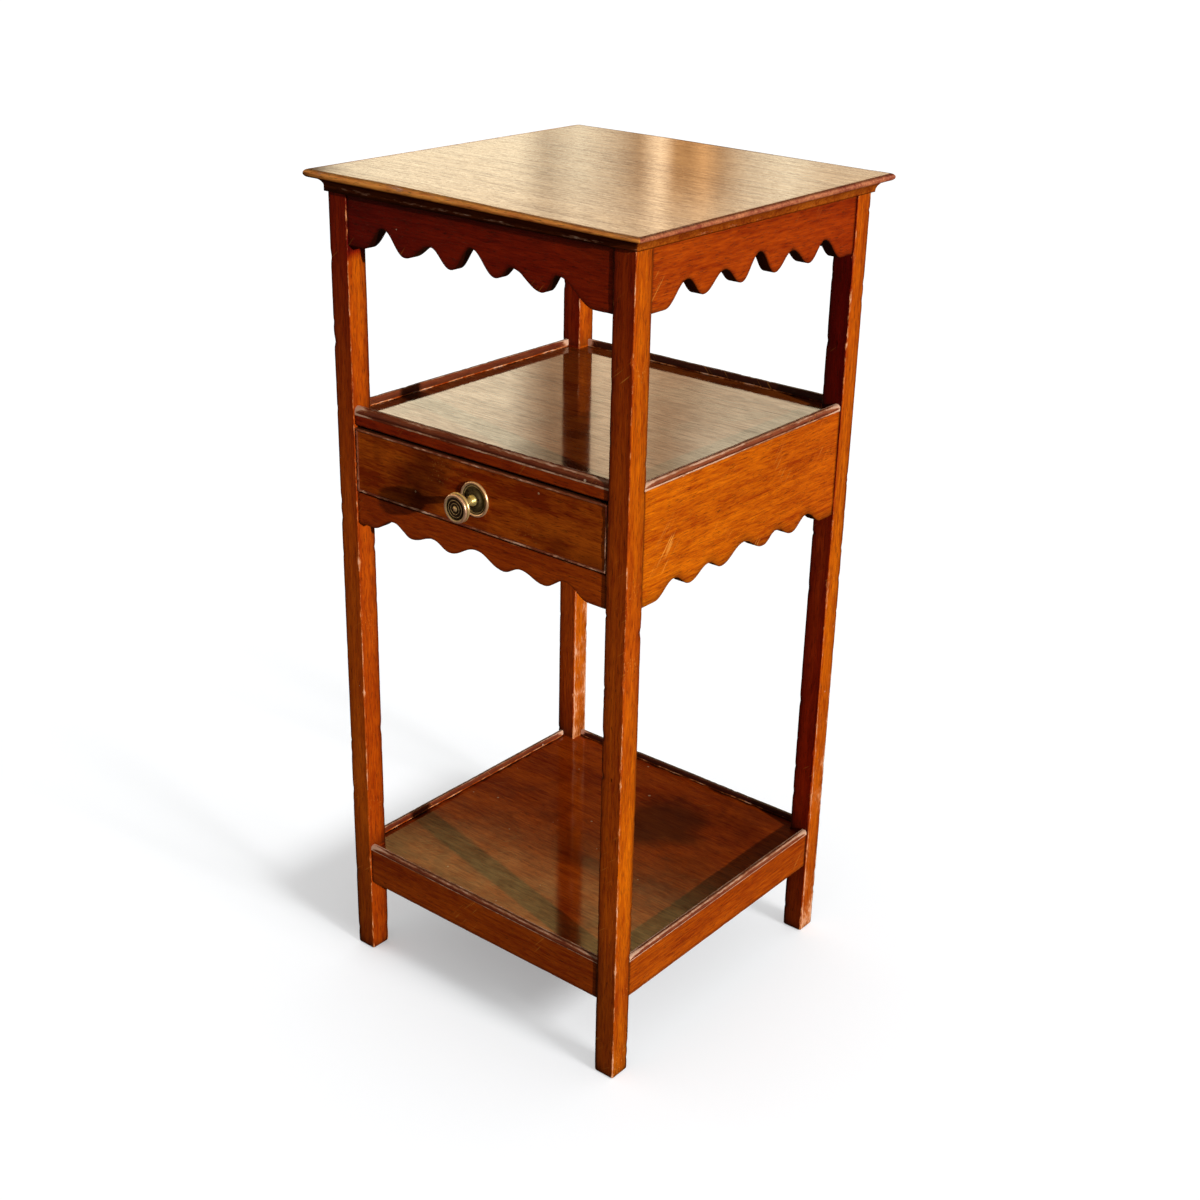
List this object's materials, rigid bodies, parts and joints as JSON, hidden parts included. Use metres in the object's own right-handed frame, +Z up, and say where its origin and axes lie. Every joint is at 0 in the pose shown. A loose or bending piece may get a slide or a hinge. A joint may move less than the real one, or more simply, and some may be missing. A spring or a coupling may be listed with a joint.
{
  "type": "washstand",
  "caption": "Square mahogany washstand with a moulded top over scalloped aprons, a galleried middle shelf with a drawer under it, and a galleried lower shelf.",
  "frame": {"origin": "on the floor, under the middle of the four legs", "axes": "+Z up, -Y out of the drawer front, +X to the right of someone facing the drawer"},
  "size_m": [0.373, 0.3826, 0.8],
  "materials": {
    "top_mahogany": "old polish, glossy and a little faded, grain running left to right",
    "frame_mahogany": "old polish, semi-gloss, arrises rubbed pale",
    "strip_mahogany": "old polish, rubbed pale along the top",
    "shelf_mahogany": "old polish, glossy, faded, grain running left to right",
    "drawer_mahogany": "old polish over figured wood, semi-gloss",
    "lining_wood": "bare planed wood, dry and dull",
    "brass": "turned brass, darkened in the hollows and rubbed bright on the ridges",
    "iron": "dark forged iron"
  },
  "bodies": {
    "stand": {"top_board": "top_mahogany", "front_left_leg": "frame_mahogany", "front_right_leg": "frame_mahogany", "back_left_leg": "frame_mahogany", "back_right_leg": "frame_mahogany", "top_apron_front": "frame_mahogany", "top_apron_right": "frame_mahogany", "top_apron_back": "frame_mahogany", "top_apron_left": "frame_mahogany", "mid_apron_right": "frame_mahogany", "mid_apron_back": "frame_mahogany", "mid_apron_left": "frame_mahogany", "drawer_top_rail": "frame_mahogany", "drawer_rail": "frame_mahogany", "lower_rail_front": "frame_mahogany", "lower_rail_right": "frame_mahogany", "lower_rail_back": "frame_mahogany", "lower_rail_left": "frame_mahogany", "mid_strip_front": "strip_mahogany", "mid_strip_right": "strip_mahogany", "mid_strip_back": "strip_mahogany", "mid_strip_left": "strip_mahogany", "lower_strip_front": "strip_mahogany", "lower_strip_right": "strip_mahogany", "lower_strip_back": "strip_mahogany", "lower_strip_left": "strip_mahogany", "mid_shelf": "shelf_mahogany", "lower_shelf": "shelf_mahogany", "top_glue_blocks": "lining_wood", "drawer_runner_left": "lining_wood", "drawer_runner_right": "lining_wood", "drawer_guide_left": "lining_wood", "drawer_guide_right": "lining_wood", "drawer_stops": "lining_wood"},
    "drawer": {"drawer_front": "drawer_mahogany", "cockbead_top": "drawer_mahogany", "cockbead_bottom": "drawer_mahogany", "cockbead_left": "drawer_mahogany", "cockbead_right": "drawer_mahogany", "drawer_side_left": "lining_wood", "drawer_side_right": "lining_wood", "drawer_back": "lining_wood", "drawer_bottom": "lining_wood", "knob_backplate": "brass", "knob_body": "brass", "knob_face": "brass", "knob_nut": "iron"}
  },
  "joints": [
    {"name": "drawer_slide", "type": "slide", "parent": "stand", "child": "drawer", "axis": [0, -1, 0], "range_m": [0, 0.22]}
  ]
}
